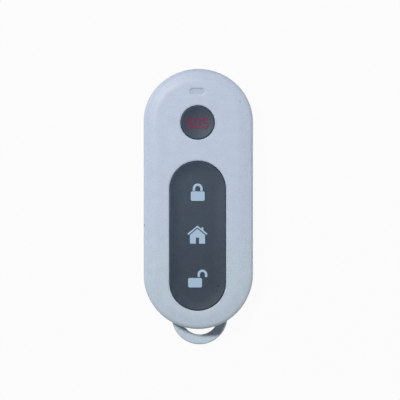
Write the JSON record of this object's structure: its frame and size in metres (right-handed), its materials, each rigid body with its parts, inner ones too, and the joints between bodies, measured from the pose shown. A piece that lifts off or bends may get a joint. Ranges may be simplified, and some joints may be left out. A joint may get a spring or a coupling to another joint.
{
  "type": "remote key fob",
  "caption": "Pill-shaped remote key fob with a round key, a long rocking key, a light window and a moulded key-ring loop.",
  "frame": {"origin": "centre of the flat back face of the casing, half way along the casing without its loop", "axes": "+Z out of the front face with the keys, +Y along the casing away from the key-ring loop, +X to the right seen from the front"},
  "size_m": [0.028, 0.0714, 0.0109],
  "materials": {
    "casing_plastic": "fine textured moulding",
    "key_plastic": "satin moulding",
    "silicone": "soft, matt",
    "board_laminate": "solder mask",
    "switch_plastic": "moulded",
    "plunger_plastic": "moulded",
    "spring_steel": "stamped sheet",
    "plated_steel": "plated",
    "lamp_resin": "clear resin",
    "chip_epoxy": "moulded epoxy",
    "ceramic": "fired ceramic",
    "tinned_copper": "rolled strip"
  },
  "bodies": {
    "casing": {"rear_shell": "casing_plastic", "front_shell": "casing_plastic", "battery_clip": "spring_steel", "coin_cell": "plated_steel", "negative_contact": "spring_steel", "circuit_board": "board_laminate", "status_led": "lamp_resin", "encoder_chip": "chip_epoxy", "saw_resonator": "plated_steel", "transistor": "chip_epoxy", "resistors": "chip_epoxy", "capacitors": "ceramic", "antenna_loop": "tinned_copper", "sos_pad": "silicone", "screw_left": "plated_steel", "screw_right": "plated_steel", "sos_switch_base": "switch_plastic", "sos_dome": "spring_steel", "sos_switch_cover": "spring_steel", "lock_switch_base": "switch_plastic", "lock_dome": "spring_steel", "lock_switch_cover": "spring_steel", "home_switch_base": "switch_plastic", "home_dome": "spring_steel", "home_switch_cover": "spring_steel", "unlock_switch_base": "switch_plastic", "unlock_dome": "spring_steel", "unlock_switch_cover": "spring_steel"},
    "sos_key": {"sos_key": "key_plastic"},
    "function_pad": {"function_pad": "silicone"},
    "function_key": {"function_key": "key_plastic"},
    "sos_plunger": {"sos_plunger": "plunger_plastic"},
    "lock_plunger": {"lock_plunger": "plunger_plastic"},
    "home_plunger": {"home_plunger": "plunger_plastic"},
    "unlock_plunger": {"unlock_plunger": "plunger_plastic"}
  },
  "joints": [
    {"name": "sos_press", "type": "slide", "parent": "casing", "child": "sos_key", "axis": [0, 0, -1], "range_m": [0, 0.00035], "stiffness_N_per_m": 1500, "deforming": ["sos_pad"]},
    {"name": "function_press", "type": "slide", "parent": "casing", "child": "function_pad", "axis": [0, 0, -1], "range_m": [0, 0.00035], "stiffness_N_per_m": 2000, "deforming": ["function_pad"]},
    {"name": "function_rock", "type": "hinge", "parent": "function_pad", "child": "function_key", "pos_m": [0, -0.00942, 0.008], "axis": [1, 0, 0], "range_deg": [-1.5, 1.5], "stiffness_Nm_per_rad": 1},
    {"name": "sos_plunger_travel", "type": "slide", "parent": "casing", "child": "sos_plunger", "axis": [0, 0, -1], "range_m": [0, 0.00025], "deforming": ["sos_dome"]},
    {"name": "lock_plunger_travel", "type": "slide", "parent": "casing", "child": "lock_plunger", "axis": [0, 0, -1], "range_m": [0, 0.00025], "stiffness_N_per_m": 500, "deforming": ["lock_dome"]},
    {"name": "home_plunger_travel", "type": "slide", "parent": "casing", "child": "home_plunger", "axis": [0, 0, -1], "range_m": [0, 0.00025], "deforming": ["home_dome"]},
    {"name": "unlock_plunger_travel", "type": "slide", "parent": "casing", "child": "unlock_plunger", "axis": [0, 0, -1], "range_m": [0, 0.00025], "stiffness_N_per_m": 500, "deforming": ["unlock_dome"]}
  ],
  "couplings": [
    {"joint": "sos_plunger_travel", "follows": "sos_press", "ratio": 0.7},
    {"joint": "home_plunger_travel", "follows": "function_press", "ratio": 0.7}
  ]
}
